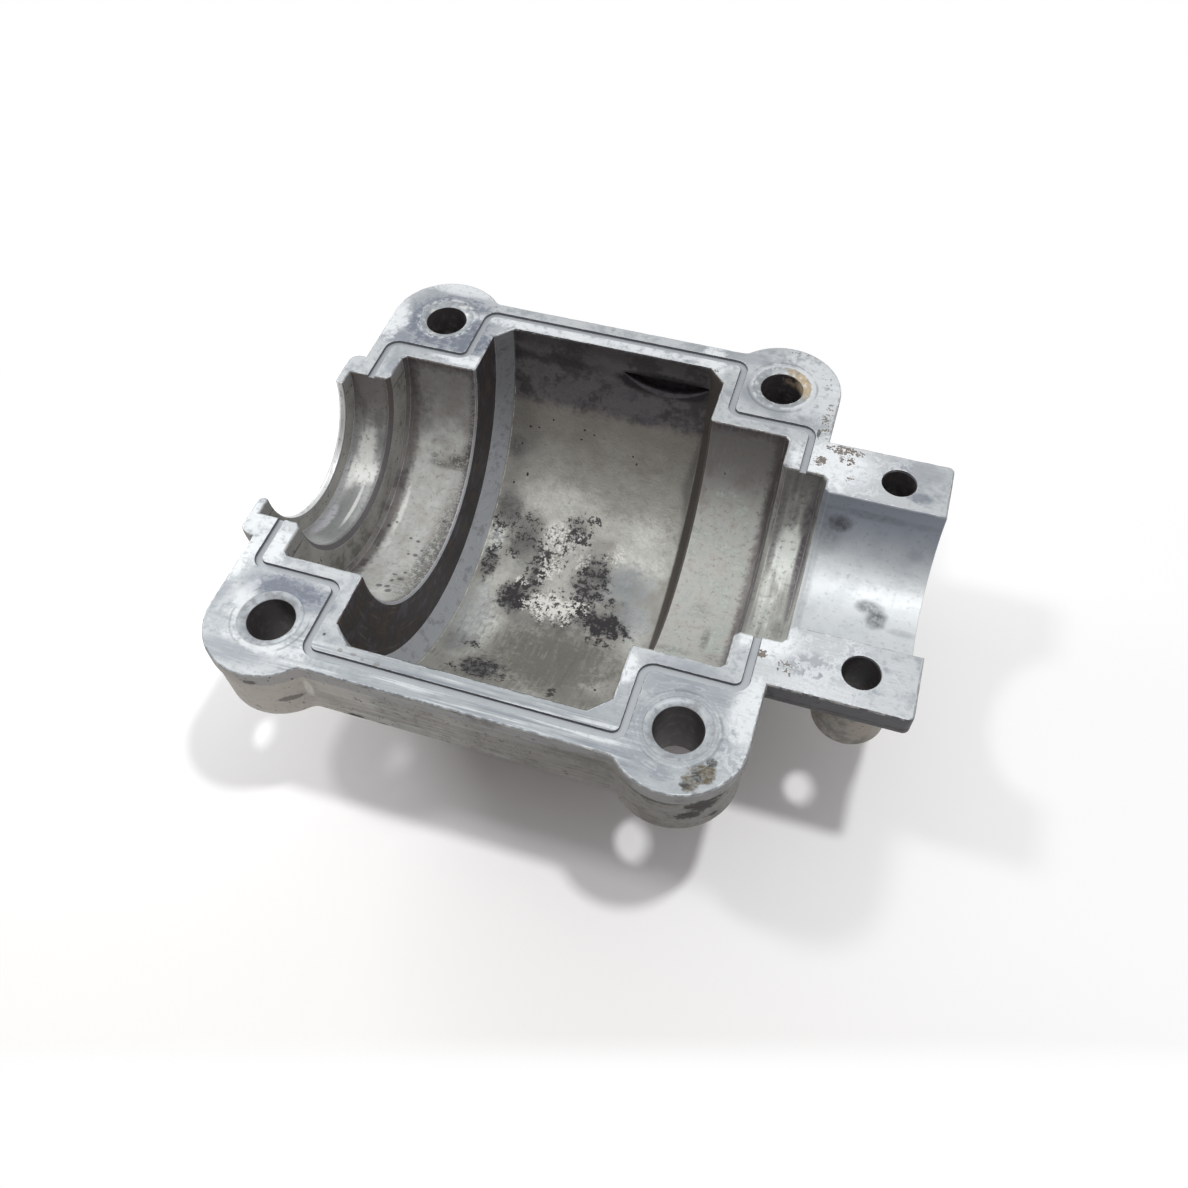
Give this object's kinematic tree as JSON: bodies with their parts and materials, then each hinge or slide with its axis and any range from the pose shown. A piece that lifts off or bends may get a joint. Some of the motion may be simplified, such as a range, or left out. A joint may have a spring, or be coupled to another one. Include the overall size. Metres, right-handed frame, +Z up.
{
  "type": "chainsaw crankcase",
  "caption": "Lower crankcase half of a chainsaw engine: one die casting with a round crank chamber, bearing and seal seats, bolt bosses, a sealing groove and an eared half bore.",
  "frame": {"origin": "on the crank axis, in the split face, at the centre of the four flange bolt holes", "axes": "+X along the crank axis towards the two ears of the clutch side, +Z up out of the split face, +Y to the long side that holds the chamber's hollow"},
  "size_m": [0.0798, 0.0672, 0.03],
  "materials": {
    "cast_metal": "used die casting: machined split face and seats, rough cast outside, oil stained chamber"
  },
  "bodies": {
    "root": {"lower_crankcase": "cast_metal"}
  },
  "joints": []
}
